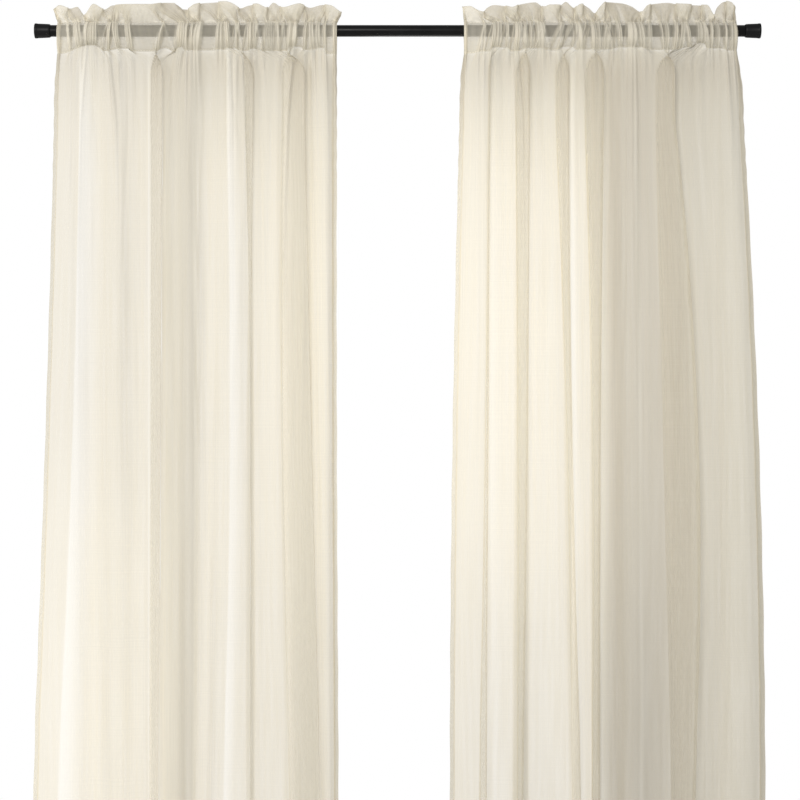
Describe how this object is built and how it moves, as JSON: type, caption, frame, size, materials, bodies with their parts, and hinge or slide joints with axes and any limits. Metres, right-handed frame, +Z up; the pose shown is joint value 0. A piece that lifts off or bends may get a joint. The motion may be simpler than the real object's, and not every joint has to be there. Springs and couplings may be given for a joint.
{
  "type": "pair of sheer voile curtains on a curtain rod",
  "caption": "Sheer voile rod-pocket curtains with ruffled headings, hanging in loose folds from a plain round rod with flared end caps.",
  "frame": {"origin": "on the rod's axis, halfway along the rod", "axes": "+X along the rod to the right as seen in the picture, +Y away from the viewer towards the window, +Z up; the panels hang down along -Z"},
  "size_m": [1.6223, 0.0743, 2.1356],
  "materials": {
    "voile": "sheer plain-weave voile, warm cream, seen through",
    "black_steel": "satin black paint on steel tube",
    "black_cap": "satin black moulded plastic"
  },
  "bodies": {
    "root": {"rod": "black_steel", "end_cap_left": "black_cap", "end_cap_right": "black_cap", "panel_left": "voile", "panel_right": "voile"}
  },
  "joints": []
}
